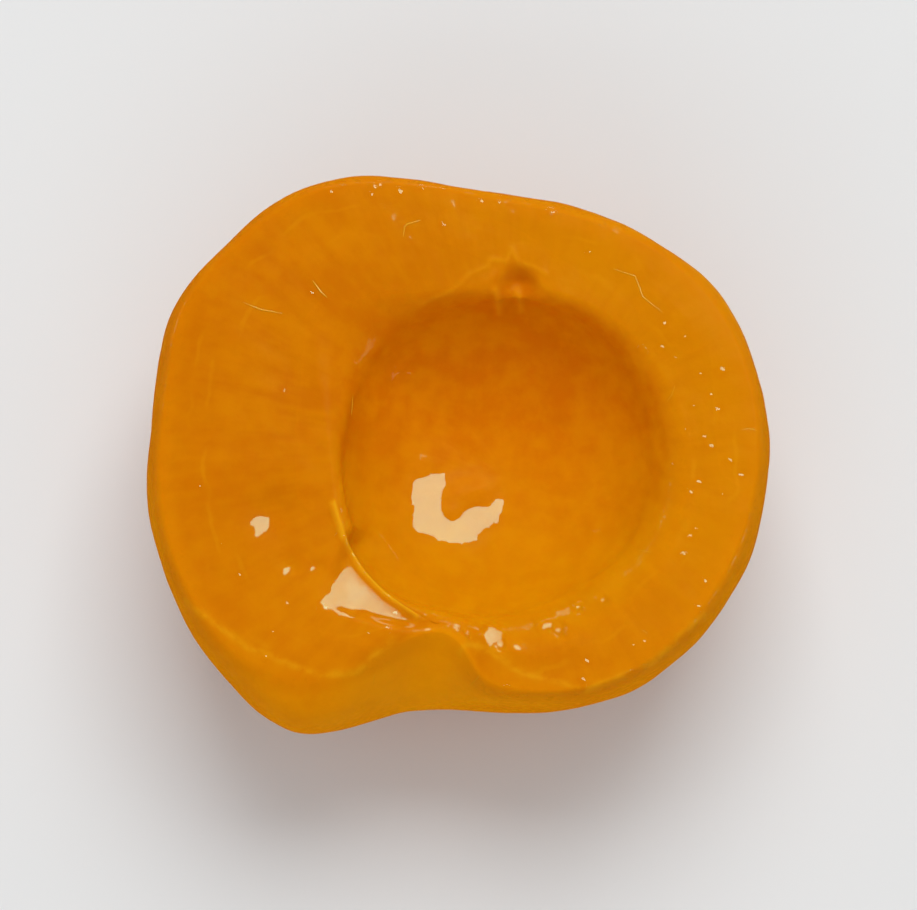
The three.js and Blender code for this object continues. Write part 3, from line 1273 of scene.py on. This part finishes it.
@dataclass
class PeachFlesh:
    """The half's flesh: one closed skin of meridians, finer than the part's own, with all its relief."""

    fades: Fades = Fades()
    form: HalfForm = HalfForm()
    relief: FleshRelief = FleshRelief()
    pool: Pool = Pool()
    finish: FleshFinish = FleshFinish()
    meridians: int = 560
    rings: dict[Stretch, int] = field(
        default_factory=lambda: {
            Stretch.WALL: 40,
            Stretch.LIP: 16,
            Stretch.FACE: 48,
            Stretch.RIM: 22,
            Stretch.BACK: 46,
            Stretch.FOOT: 3,
        }
    )
    first_ring: float = 0.06  # share of the wall at which its first ring stands
    far: float = 99.0  # distance that stands for nowhere near the cut edge
    sky: float = 50.0  # height that the upper side is looked at from
    fit_stride: int = 7  # one point in so many is measured against the solid
    least_normal: float = 1e-9
    cheek_way: Span = (0.85, 0.5)  # plan direction in which the flesh turns yellower
    # Share of the painted shade in the pocket.
    pocket_shade_share: float = 0.7
    wear: Swell = Swell(-98, 0.5, 28)
    wear_passes: int = 90
    dew: Span = (0.06, 0.8)  # beads all over the face, and what its wet sides add
    dew_sides: tuple[Swell, ...] = (Swell(0, 1, 50), Swell(-120, 0.5, 40))
    dew_brink: Swell = Swell(-72, 1, 30)
    dew_edge: Swell = Swell(108, 4, 16)
    piece: bpy.types.Object | None = None
    surface: BVHTree | None = None
    shift: np.ndarray | None = None

    def _steps(self) -> Lines:
        """Where each stretch is read.

        Returns:
            Shares along each stretch. All but the wall leave out their first place, and the foot its
            last too.
        """
        steps = {s: np.linspace(0, 1, n + 1)[1:] for s, n in self.rings.items()}
        steps[Stretch.WALL] = np.linspace(self.first_ring, 1, self.rings[Stretch.WALL])
        steps[Stretch.FOOT] = np.linspace(0, 1, self.rings[Stretch.FOOT] + 1)[1:-1]
        return steps

    def _masks(self, lines: Lines) -> dict[str, np.ndarray]:
        """Masks that follow from the stretches.

        Args:
            lines: The plain form's places on each stretch.

        Returns:
            Masks and the distance from the cut edge, each of shape (meridians, rings). A stretch that a
            mask doesn't name has 0.
        """
        fades, far = self.fades, self.far
        wall, lip, face, rim, back, foot = Stretch
        shape = {s: places.shape[:2] for s, places in lines.items()}
        share = {s: np.broadcast_to(np.linspace(0, 1, size[1]), size) for s, size in shape.items()}
        away = {s: np.linalg.norm(places - lines[face][:, -1:], axis=2) for s, places in lines.items()}
        inner = np.linalg.norm(lines[face] - lines[face][:, :1], axis=2)
        back_rim = ease(away[rim], *fades.back_rim)
        brink_face = 1 - np.minimum(ease(inner, *fades.brink_inner), ease(away[face], *fades.brink_outer))
        named = {
            "across": {**away, wall: far, rim: -away[rim], back: far, foot: far},
            "hollow": {wall: 1, lip: 1 - ease(share[lip], *fades.hollow_lip)},
            "back": {rim: back_rim, back: 1, foot: 1},
            "edge": {face: 1 - ease(away[face], *fades.edge_face), rim: 1 - ease(away[rim], *fades.edge_rim)},
            "face": {lip: ease(share[lip], *fades.face_lip), face: ease(away[face], *fades.face_edge)},
            "brink": {lip: ease(share[lip], *fades.brink_lip), face: brink_face, rim: 1 - back_rim},
            "rest": {wall: 1, lip: 1, face: 1, rim: 1, back: ease(lines[back][..., 2], *fades.rest)},
            "worn": {face: 1 - ease(away[face], *fades.worn_face), rim: 1 - ease(away[rim], *fades.worn_rim)},
            # Where painted light lifts the shaded stem valley.
            "valley": {
                face: 1 - ease(away[face], *fades.valley_face),
                rim: 1,
                back: 1 - ease(share[back], *fades.valley_back),
            },
        }
        return {
            name: np.concatenate([np.broadcast_to(parts.get(s, 0), shape[s]) for s in Stretch], axis=1)
            for name, parts in named.items()
        }

    def _marks(self, plan: np.ndarray, masks: dict[str, np.ndarray]) -> dict[str, np.ndarray]:
        """Masks that follow from plan places as well.

        Args:
            plan: Plan places about the middle of the hollow, of shape (n, 2).
            masks: The masks of the stretches, each of n numbers.

        Returns:
            New masks and changed ones, each of n numbers.
        """
        relief, fades = self.relief, self.fades
        upper = 1 - masks["back"]
        marks = {}
        for name, strands in (("torn", relief.torn), ("vein", relief.veins)):
            marks[name] = upper * np.max([s.paint * s.heights(plan) / s.height for s in strands], axis=0)
        # Painted shade for the small pocket at the top of the hollow; it also gives the pocket the hollow's
        # deeper colour.
        pocket = -relief.pocket.heights(plan)
        hollow = np.maximum(masks["hollow"], pocket)
        pooled = masks["hollow"] * ease(self.pool.rise(plan), *fades.pool)
        dull = np.minimum(1, -np.min([d.heights(plan) for d in relief.dull], axis=0))
        kept = np.clip(1 + sum(d.heights(plan) for d in relief.glossy), 0, 1)
        return {
            **marks,
            "hollow": hollow,
            "pocket": pocket * self.pocket_shade_share,
            # Painted light: how far towards its lower side the hollow is painted lighter.
            "low": ease(-plan[:, 1], *fades.low),
            "dull": np.maximum(pooled, dull),
            "cheek": ease(plan @ np.array(self.cheek_way), *fades.cheek),
            "stem": ease(-plan[:, 1], *fades.stem),
            "brink": masks["brink"] * kept,
            "matt": hollow * kept,
        }

    def _heights(self, places: np.ndarray, masks: dict[str, np.ndarray]) -> np.ndarray:
        """Height of the relief.

        Args:
            places: Places of the plain form, of shape (n, 3).
            masks: The masks of the stretches, each of n numbers.

        Returns:
            Millimetres along the normal at each place.
        """
        relief = self.relief
        about = places - self.form.middle()
        plan = about[:, :2]
        upper = 1 - masks["back"]
        rays = relief.rays(about)
        height = 0
        for share, coarse, fine, more in (
            (upper * (1 - masks["hollow"]), relief.face_swell, relief.face_grain, rays),
            (masks["hollow"], relief.hollow_swell, relief.hollow_grain, 0),
            (masks["back"], relief.back_swell, relief.back_pebble, 0),
        ):
            height += share * (coarse.heights(places) + fine.heights(places) + more)
        for shapes in (relief.torn, relief.veins, (*relief.folds, *relief.facets, *relief.dents)):
            height += upper * sum(shape.heights(plan) for shape in shapes)
        return height * masks["rest"]

    def _raised(self, grid: np.ndarray, masks: dict[str, np.ndarray]) -> np.ndarray:
        """Moves the plain form along its normals by the relief, then lays the ledges.

        Args:
            grid: Places of the plain form, of shape (meridians, rings, 3).
            masks: The masks of the stretches, each of n numbers.

        Returns:
            The raised places, of the same shape.
        """
        height = self._heights(grid.reshape(-1, 3), masks)
        along_ring = np.roll(grid, -1, axis=0) - np.roll(grid, 1, axis=0)
        normal = np.cross(np.gradient(grid, axis=1), along_ring)
        normal /= np.maximum(np.linalg.norm(normal, axis=2, keepdims=True), self.least_normal)
        raised = (grid + normal * height.reshape(grid.shape[:2])[..., None]).reshape(-1, 3)
        facing_up = masks["back"] < 0.5
        for ledge in self.relief.ledges:
            raised[facing_up, 2] += ledge.rises(raised[facing_up] - self.form.middle())
        return raised.reshape(grid.shape)

    def _worn(self, grid: np.ndarray, share: np.ndarray) -> np.ndarray:
        """Rounds the skin off as if it were rubbed.

        Args:
            grid: Points of shape (meridians, rings, 3).
            share: How much of each is rubbed, 0 to 1.

        Returns:
            The rounded points.
        """
        share = share[..., None]
        for _ in range(self.wear_passes):
            around = np.roll(grid, 1, axis=0) + np.roll(grid, -1, axis=0)
            around[:, 1:-1] += grid[:, :-2] + grid[:, 2:]
            around[:, [0, -1]] *= 2
            grid = grid + (around / 4 - grid) * share
        return grid

    def build(self) -> bpy.types.Object:
        """Builds the flesh.

        Returns:
            The finished object, which replaces the CAD node.
        """
        bearings = np.arange(self.meridians) * 360 / self.meridians
        lines = self.form.stretches(bearings, self._steps())
        masks = self._masks(lines)
        # The painted light of the stem valley, only where the face is notched.
        masks["valley"] = masks["valley"] * self.form.face_notch.share(bearings)[:, None]
        plain = np.concatenate([lines[s] for s in Stretch], axis=1)
        low_mm, high_mm = (np.array(corner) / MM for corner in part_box(NODE))
        low, high = plain.min((0, 1)), plain.max((0, 1))
        self.shift = ((low_mm + high_mm) - (low + high)) / 2 * np.array([1, 1, 0])

        flat = {name: mask.reshape(-1) for name, mask in masks.items()}
        raised = self._raised(plain, flat)
        marks = self._marks((plain - self.form.middle()).reshape(-1, 3)[:, :2], flat)
        masks |= {name: mark.reshape(plain.shape[:2]) for name, mark in marks.items()}
        grid = self._worn(raised, masks["worn"] * self.wear(bearings)[:, None]) + self.shift
        masks["dew"] = self._dew(grid - self.shift, masks)

        foot_middle = np.array([*self.form.foot_middle, 0.0]) + self.shift
        skin = self.finish.dress("wet_peach_flesh")
        mesh = skin_mesh("peach_flesh", grid[:, 0].mean(0), grid, foot_middle, skin)
        for name in sorted(set(masks) - {"rest", "worn"}):
            first, last = masks[name][:, 0].mean(), masks[name][:, -1].mean()
            values = np.concatenate([[first], masks[name].reshape(-1), [last]]).astype(np.float32)
            mesh.attributes.new(name, "FLOAT", "POINT").data.foreach_set("value", values)
        self.piece = new_piece("peach_flesh", mesh)
        self.surface = surface_tree(mesh)
        self._report_fit()
        return hand_over(self.piece, NODE)

    def _dew(self, grid: np.ndarray, masks: dict[str, np.ndarray]) -> np.ndarray:
        """Where beads of syrup stand: over the cut face, and thickest on its right and lower sides.

        Args:
            grid: The finished points of shape (meridians, rings, 3), in millimetres.
            masks: Masks by name.

        Returns:
            Share of the beads' density at each point.
        """
        about = grid - self.form.middle()
        bearings = np.degrees(np.arctan2(about[..., 1], about[..., 0]))
        least, more = self.dew
        thick = least + more * np.clip(total(self.dew_sides, bearings), 0, 1)
        lips = masks["brink"] * (1 - masks["hollow"]) * self.dew_brink(bearings)
        return np.maximum(masks["face"] * thick, lips) + masks["edge"] * self.dew_edge(bearings)

    def _report_fit(self) -> None:
        """Logs how far the finished flesh lies from the part's own solid."""
        solid = surface_tree(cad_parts[NODE].data)
        points = [v.co for v in self.piece.data.vertices]
        far = [solid.find_nearest(p)[3] / MM for p in points[:: self.fit_stride]]
        log.info("flesh lies %.2f mm from the solid at most, %.2f mm on average", max(far), np.mean(far))

    def top_at(self, x: float, y: float) -> tuple[Vector | None, Vector | None]:
        """Place and normal of the upper side.

        Args:
            x: Plan place about the middle of the hollow, in millimetres.
            y: The same along Y.

        Returns:
            The point in metres and the unit normal there, or two Nones beside the half.
        """
        above = self.form.middle() + self.shift + np.array([x, y, self.sky])
        return self.surface.ray_cast(Vector(above * MM), Vector((0, 0, -1)))[:2]


@dataclass
class SyrupFilm:
    """A shallow lens of syrup on the hollow's floor. The flesh's own relief breaks through its edge."""

    flesh: PeachFlesh
    under: float = 0.6
    meridians: int = 160
    rings: int = 56
    reach: Span = (0.03, 0.72)
    finish: SyrupFinish = SyrupFinish()

    def build(self) -> bpy.types.Object:
        """Builds the film as one closed lens that reaches just into the flesh.

        Returns:
            The finished object.
        """
        form = self.flesh.form
        bearings = np.arange(self.meridians) * 360 / self.meridians
        steps = {s: np.array([0.0, 1.0]) for s in Stretch}
        steps[Stretch.WALL] = np.linspace(*self.reach, self.rings)
        wall = form.stretches(bearings, steps)[Stretch.WALL]
        along_ring = np.roll(wall, -1, axis=0) - np.roll(wall, 1, axis=0)
        normal = np.cross(np.gradient(wall, axis=1), along_ring)
        normal /= np.linalg.norm(normal, axis=2, keepdims=True)
        top = wall + normal * self.flesh.pool.rise((wall - form.middle())[..., :2])[..., None]
        low = wall - normal * self.under
        grid = np.concatenate([top, low[:, ::-1]], axis=1) + self.flesh.shift
        first, last = grid[:, 0].mean(0), grid[:, -1].mean(0)
        mesh = skin_mesh("syrup_film", first, grid, last, self.finish.dress("clear_syrup"))
        return hand_over(new_piece("syrup_film", mesh))


@dataclass
class SyrupDrops:
    """Beads of syrup that stand on the cut flesh."""

    flesh: PeachFlesh
    density: float = 120000.0
    least: float = 0.30
    most: float = 0.85
    flatness: float = 0.32
    sunk: float = 0.55
    seed: int = 12
    finish: SyrupFinish = SyrupFinish()

    def build(self) -> bpy.types.Object:
        """Scatters the beads with Geometry Nodes.

        Returns:
            The finished object.
        """
        grower = Grower(
            "scatter_beads",
            [
                Dial("Density", self.density),
                Dial("Least Radius", self.least * MM),
                Dial("Most Radius", self.most * MM),
                Dial("Flatness", self.flatness),
                Dial("Seed", self.seed, "NodeSocketInt"),
            ],
        )
        bench = grower.bench
        density = grower["Density"] * bench.kept_number("dew")
        scatter = {"Mesh": grower["Geometry"], "Density": density, "Seed": grower["Seed"]}
        points = bench.node("GeometryNodeDistributePointsOnFaces", None, scatter, "Points")
        bead = bench.node("GeometryNodeMeshIcoSphere", None, {"Radius": 1.0, "Subdivisions": 2}, "Mesh")
        drawn = {"Min": grower["Least Radius"], "Max": grower["Most Radius"], "Seed": grower["Seed"]}
        size = bench.node("FunctionNodeRandomValue", {"data_type": "FLOAT"}, drawn, "Value")
        flat = size * grower["Flatness"]
        scale = bench.node("ShaderNodeCombineXYZ", None, {"X": size, "Y": size, "Z": flat})
        turned = points.beside("Rotation")
        stand = {"Points": points, "Instance": bead, "Rotation": turned, "Scale": scale}
        stood = bench.node("GeometryNodeInstanceOnPoints", None, stand, "Instances")
        sink = {"Instances": stood, "Translation": (0.0, 0.0, -self.sunk), "Local Space": True}
        sunk = bench.node("GeometryNodeTranslateInstances", None, sink)
        grower.close(sunk, self.finish.dress("bead_syrup"))
        return hand_over(grower.grow("syrup_drops", self.flesh.piece.data.copy()))


@dataclass
class Filament:
    """One loose strand: its plan points, and its thickness in millimetres."""

    points: tuple[Plan, ...]
    thick: float


@dataclass
class TornFibres:
    """Pale strands that cling to the cut face and the hollow's wall."""

    flesh: PeachFlesh
    chosen: tuple[Filament, ...] = (
        Filament(((-19.9, 18.5), (-19.0, 17.2), (-18.2, 16.5)), 0.24),
        Filament(((-27.2, 16.2), (-25.0, 15.3), (-22.5, 14.9)), 0.20),
        Filament(((-8.5, 24.7), (-10.4, 24.1), (-10.6, 22.6)), 0.22),
        Filament(((-15.7, 7.1), (-15.9, 4.7)), 0.24),
        Filament(((9.9, 19.9), (13.2, 18.8), (13.9, 16.6), (16.5, 14.6)), 0.18),
    )
    wisps: int = 7
    wisp_reach: Span = (15.0, 25.0)
    wisp_length: Span = (0.8, 3.2)
    wisp_thick: Span = (0.08, 0.16)
    wisp_stray: float = 0.35
    wisp_bend: float = 0.25
    lift: float = -0.03
    lowest: float = 15.5
    points_each: int = 9
    sides: int = 6
    taper: float = 1.8
    tip: float = 0.15
    seed: int = 31
    finish: FibreFinish = FibreFinish()

    def _wisps(self) -> list[Filament]:
        """Short strands that run roughly outward, at places drawn by a fixed seed.

        Returns:
            The strands.
        """
        rng = np.random.default_rng(self.seed)

        def way(angle: float) -> np.ndarray:
            """Unit vector at an angle in radians."""
            return np.array([math.cos(angle), math.sin(angle)])

        found = []
        for _ in range(self.wisps):
            bearing, reach = rng.uniform(0, math.tau), rng.uniform(*self.wisp_reach)
            length, thick = rng.uniform(*self.wisp_length), rng.uniform(*self.wisp_thick)
            heading = bearing + rng.normal(0, self.wisp_stray)
            bend = rng.normal(0, self.wisp_bend)
            start = way(bearing) * reach
            mid = start + way(heading) * length / 2
            end = mid + way(heading + bend) * length / 2
            found.append(Filament((tuple(start), tuple(mid), tuple(end)), thick))
        return found

    def _laid(self, filament: Filament) -> list[Vector]:
        """Lays a strand on the flesh.

        Args:
            filament: The strand, by its plan points about the middle of the hollow.

        Returns:
            Points in metres, or none where the strand would leave the upper side.
        """
        plan = np.array(filament.points)
        gaps = np.linalg.norm(np.diff(plan, axis=0), axis=1)
        along = np.concatenate([[0], np.cumsum(gaps)])
        wanted = np.linspace(0, along[-1], self.points_each)
        laid = []
        for x, y in zip(np.interp(wanted, along, plan[:, 0]), np.interp(wanted, along, plan[:, 1])):
            place, normal = self.flesh.top_at(x, y)
            if place is None or place.z < self.lowest * MM:
                return []
            laid.append(place + normal * self.lift * MM)
        return laid

    def build(self) -> bpy.types.Object:
        """Lays the strands as lines and turns them into tapered tubes with Geometry Nodes.

        Returns:
            The finished object.
        """
        places: list[Vector] = []
        edges: list[tuple[int, int]] = []
        thick: list[float] = []
        for filament in [*self.chosen, *self._wisps()]:
            start = len(places)
            laid = self._laid(filament)
            places += laid
            thick += [filament.thick * MM / 2] * len(laid)
            edges += [(start + i, start + i + 1) for i in range(len(laid) - 1)]
        lines = bpy.data.meshes.new("strand_lines")
        lines.from_pydata([tuple(p) for p in places], edges, [])
        lines.attributes.new("thick", "FLOAT", "POINT").data.foreach_set("value", thick)

        dials = [Dial("Taper", self.taper), Dial("Sides", self.sides, "NodeSocketInt")]
        grower = Grower("strand_tubes", dials)
        bench = grower.bench
        curve = bench.node("GeometryNodeMeshToCurve", None, {"Mesh": grower["Geometry"]}, "Curve")
        share = bench.node("GeometryNodeSplineParameter", None, None, "Factor")
        power = {0: abs(share * 2 - 1), 1: grower["Taper"]}
        full = 1 - bench.node("ShaderNodeMath", {"operation": "POWER"}, power)
        scale = bench.kept_number("thick") * (full * (1 - self.tip) + self.tip)
        circle = {"Resolution": grower["Sides"], "Radius": 1.0}
        ring = bench.node("GeometryNodeCurvePrimitiveCircle", None, circle)
        sweep = {"Curve": curve, "Profile Curve": ring, "Scale": scale, "Fill Caps": True}
        tubes = bench.node("GeometryNodeCurveToMesh", None, sweep, "Mesh")
        grower.close(tubes, self.finish.dress("pale_strands"))
        return hand_over(grower.grow("torn_fibres", lines))


# ------------------------------------------------------------------------------------------------
# Studio
# ------------------------------------------------------------------------------------------------


def aim(item: bpy.types.Object, target: Vector) -> None:
    """Turns a light or camera to look at a point, with its own X level along the scene's X.

    Args:
        item: The light or camera, in its place.
        target: The point that it looks at.
    """
    back = (item.location - target).normalized()
    side = (Vector((1, 0, 0)) - back * back.x).normalized()
    item.rotation_euler = Matrix((side, back.cross(side), back)).transposed().to_euler()


@dataclass(frozen=True)
class SoftBox:
    """A rectangular light: where it stands from the half, its size and watts.

    A mirrored one is seen only as its image in wet surfaces, the others only light them.
    """

    name: str
    direction: Triple
    distance: float
    size: Span
    power: float
    colour: Colour = (1.0, 1.0, 1.0)
    mirrored: bool = False

    def build(self, target: Vector) -> None:
        """Hangs the light.

        Args:
            target: The point that it looks at and is placed from.
        """
        data = bpy.data.lights.new(self.name, "AREA")
        data.shape = "RECTANGLE"
        data.size, data.size_y = self.size
        data.energy = self.power
        data.color = self.colour
        box = bpy.data.objects.new(self.name, data)
        box.location = target + Vector(self.direction).normalized() * self.distance
        box.visible_glossy = self.mirrored
        box.visible_diffuse = not self.mirrored
        aim(box, target)
        bpy.context.scene.collection.objects.link(box)


@dataclass
class Studio:
    """Floor, light and camera."""

    target: Vector = field(default_factory=lambda: Vector((0.0, 0.0, 0.020)))
    camera_distance: float = 0.60
    camera_elevation: float = 81.5
    focal_length: float = 229.0
    sensor_width: float = 36.0
    near_clip: float = 0.01
    boxes: tuple[SoftBox, ...] = (
        SoftBox("key_box", KEY, 1.5, (1.10, 0.90), 14.6),
        SoftBox("key_sheen", SHEEN, 1.4, (0.86, 0.56), 15.2, GLINT, True),
        SoftBox("front_box", (-0.15, -0.80, 0.58), 1.5, (1.60, 0.90), 4.2),
    )
    strips: tuple[float, ...] = (30.0, 88.0, 150.0, 336.0)
    strip_size: Span = (1.05, 0.22)
    strip_distance: float = 1.5
    strip_rise: float = 0.14
    strip_power: float = 2.2
    fill: float = 0.465
    mirrored_fill: Colour = (0.55, 0.170, 0.002)
    floor_radius: float = 4.0
    floor_gap: float = 0.00002  # keeps the floor clear of the half's flat
    floor_sides: int = 96
    finish: FloorFinish = FloorFinish()

    def _floor(self) -> None:
        """A wide plain disc just under the half."""
        radius, gap = self.floor_radius, self.floor_gap
        turns = [math.tau * i / self.floor_sides for i in range(self.floor_sides)]
        rim = [(radius * math.cos(t), radius * math.sin(t), -gap) for t in turns]
        mesh = bpy.data.meshes.new("studio_floor")
        mesh.from_pydata(rim, [], [tuple(range(self.floor_sides))])
        mesh.materials.append(self.finish.dress("pale_board"))
        floor = new_piece("studio_floor", mesh)
        floor.visible_glossy = False

    def _light(self) -> None:
        """Soft boxes, low mirrored strips and an even fill, which wet flesh mirrors as if it were flesh."""
        strip = SoftBox("strip", KEY, self.strip_distance, self.strip_size, self.strip_power, GLINT, True)
        for box in self.boxes:
            box.build(self.target)
        for bearing in self.strips:
            turned = math.radians(bearing)
            way = (math.cos(turned), math.sin(turned), self.strip_rise)
            replace(strip, name=f"strip_{bearing:.0f}", direction=way).build(self.target)
        world = bpy.data.worlds.new("studio_fill")
        world.use_nodes = True
        world.node_tree.nodes.clear()
        bench = Bench(world.node_tree)
        glossy = bench.node("ShaderNodeLightPath", None, None, "Is Glossy Ray")
        colour = bench.blend(glossy, opaque((self.fill,) * 3), opaque(self.mirrored_fill))
        background = bench.node("ShaderNodeBackground", None, {"Color": colour})
        bench.node("ShaderNodeOutputWorld", None, {"Surface": background})
        bpy.context.scene.world = world

    def _camera(self) -> None:
        """A long lens that looks down on the half from just before it."""
        data = bpy.data.cameras.new("camera")
        data.lens = self.focal_length
        data.sensor_width = self.sensor_width
        data.clip_start = self.near_clip
        camera = bpy.data.objects.new("camera", data)
        rise = math.radians(self.camera_elevation)
        camera.location = self.target + Vector((0, -math.cos(rise), math.sin(rise))) * self.camera_distance
        aim(camera, self.target)
        bpy.context.scene.collection.objects.link(camera)
        bpy.context.scene.camera = camera

    def build(self) -> None:
        """Builds the studio and picks the plain view transform."""
        self._camera()
        self._light()
        self._floor()
        bpy.context.scene.view_settings.view_transform = "Standard"
        log.info("studio: camera at %.1f degrees", self.camera_elevation)


def main() -> None:
    """Builds every piece in order."""
    logging.basicConfig(level=logging.INFO, format="%(name)s: %(message)s", stream=sys.stdout)
    form = HalfForm()
    Studio().build()
    finish = FleshFinish(middle=tuple(float(size) for size in form.middle() * MM))
    flesh = PeachFlesh(form=form, finish=finish)
    flesh.build()
    SyrupFilm(flesh).build()
    SyrupDrops(flesh).build()
    TornFibres(flesh).build()


if __name__ == "__main__":
    main()
